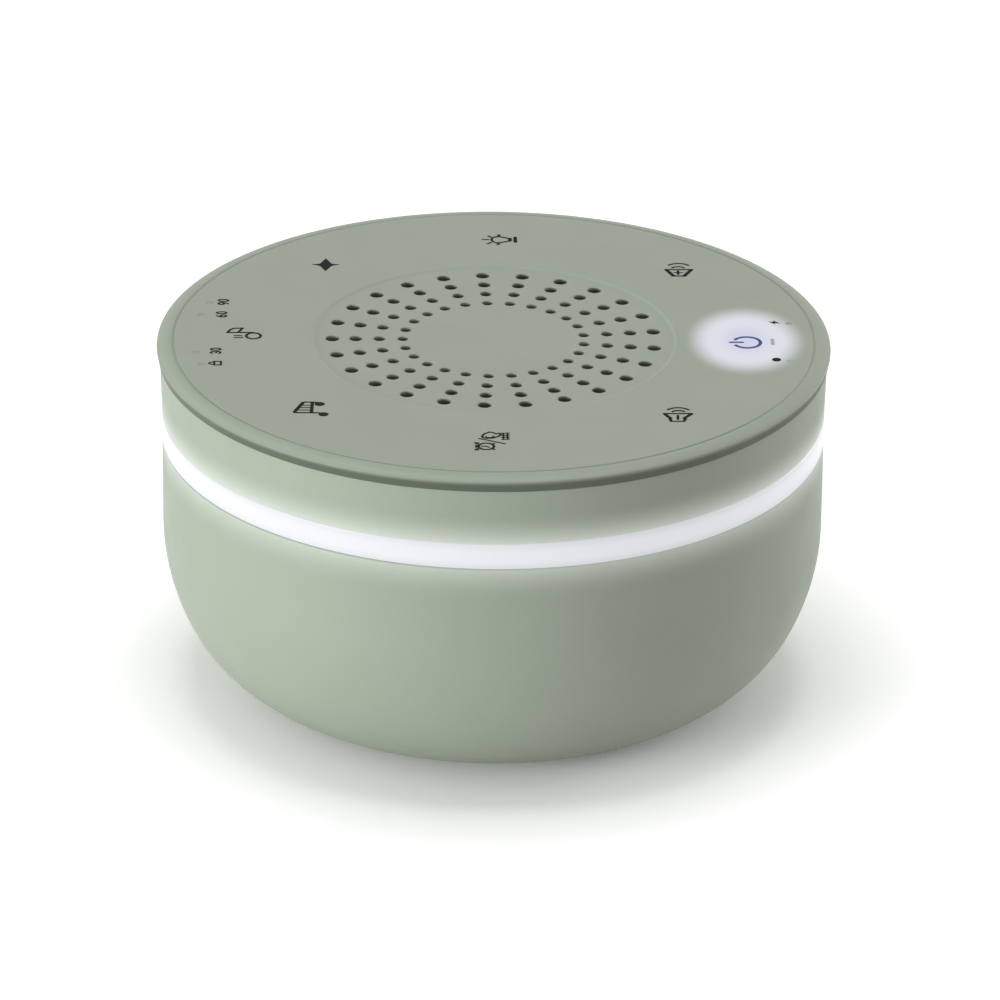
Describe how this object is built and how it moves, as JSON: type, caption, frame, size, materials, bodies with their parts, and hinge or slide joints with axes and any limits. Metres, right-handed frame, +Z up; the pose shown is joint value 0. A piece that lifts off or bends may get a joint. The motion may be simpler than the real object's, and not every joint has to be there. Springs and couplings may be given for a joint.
{
  "type": "sound machine",
  "caption": "Round bedside sound machine: a capped bowl with touch keys, a light ring and a loudspeaker under a drilled grille.",
  "frame": {"origin": "middle of the foot ring's underside, on the surface that the part stands on", "axes": "+Z up along the body's axis of revolution, +X towards the power key, the charging socket faces -X"},
  "size_m": [0.11, 0.11, 0.0605],
  "materials": {
    "shell_plastic": "soft matte moulded",
    "opal_diffuser": "opal translucent",
    "opal_guide": "opal translucent",
    "light_pipe": "clear tinted",
    "grille_cloth": "fine acoustic mesh",
    "foot_rubber": "matt moulded",
    "circuit_board": "solder mask",
    "circuit_board_white": "white solder mask",
    "terminal_board": "pressed board",
    "key_foam": "closed cell foam",
    "led_lens": "clear resin",
    "chip_black": "moulded epoxy",
    "ribbon_film": "polyimide film",
    "screw_steel": "zinc plated",
    "basket_steel": "black passivated",
    "surround_rubber": "smooth moulded",
    "cone_paper": "pressed paper",
    "former_film": "film",
    "coil_copper": "enamelled wire",
    "spider_cloth": "treated cotton",
    "magnet_ferrite": "ground ferrite",
    "lead_insulation": "silicone sleeve",
    "reflector_white": "white moulded",
    "plug_nylon": "natural nylon",
    "socket_steel": "tin plated",
    "cell_wrap": "shrink sleeve",
    "cradle_plastic": "moulded",
    "strap_steel": "spring strip"
  },
  "bodies": {
    "housing": {"top_cover": "shell_plastic", "grille_cloth": "grille_cloth", "upper_shell": "shell_plastic", "light_ring": "opal_diffuser", "lower_shell": "shell_plastic", "foot_ring": "foot_rubber", "touch_board": "circuit_board", "touch_pads": "key_foam", "key_lights": "led_lens", "power_light_guide": "opal_guide", "indicator_pipes": "light_pipe", "touch_chips": "chip_black", "touch_ribbon": "ribbon_film", "touch_board_screws": "screw_steel", "speaker_gasket": "key_foam", "speaker_basket": "basket_steel", "surround": "surround_rubber", "spider": "spider_cloth", "top_plate": "basket_steel", "magnet": "magnet_ferrite", "yoke": "basket_steel", "speaker_terminal": "terminal_board", "speaker_screws": "screw_steel", "speaker_leads": "lead_insulation", "light_board": "circuit_board_white", "ring_lights": "led_lens", "light_reflector": "reflector_white", "light_leads": "lead_insulation", "shell_screws": "screw_steel", "main_board": "circuit_board", "board_chips": "chip_black", "board_plugs": "plug_nylon", "board_screws": "screw_steel", "usb_socket": "socket_steel", "usb_tongue": "chip_black", "battery_cell": "cell_wrap", "battery_cradle": "cradle_plastic", "battery_strap": "strap_steel", "battery_leads": "lead_insulation"},
    "diaphragm": {"speaker_cone": "cone_paper", "dust_cap": "cone_paper", "coil_former": "former_film", "voice_coil": "coil_copper"}
  },
  "joints": [
    {"name": "diaphragm_travel", "type": "slide", "parent": "housing", "child": "diaphragm", "axis": [0, 0, 1], "range_m": [-0.0015, 0.0015], "stiffness_N_per_m": 900, "deforming": ["surround", "spider"]}
  ]
}
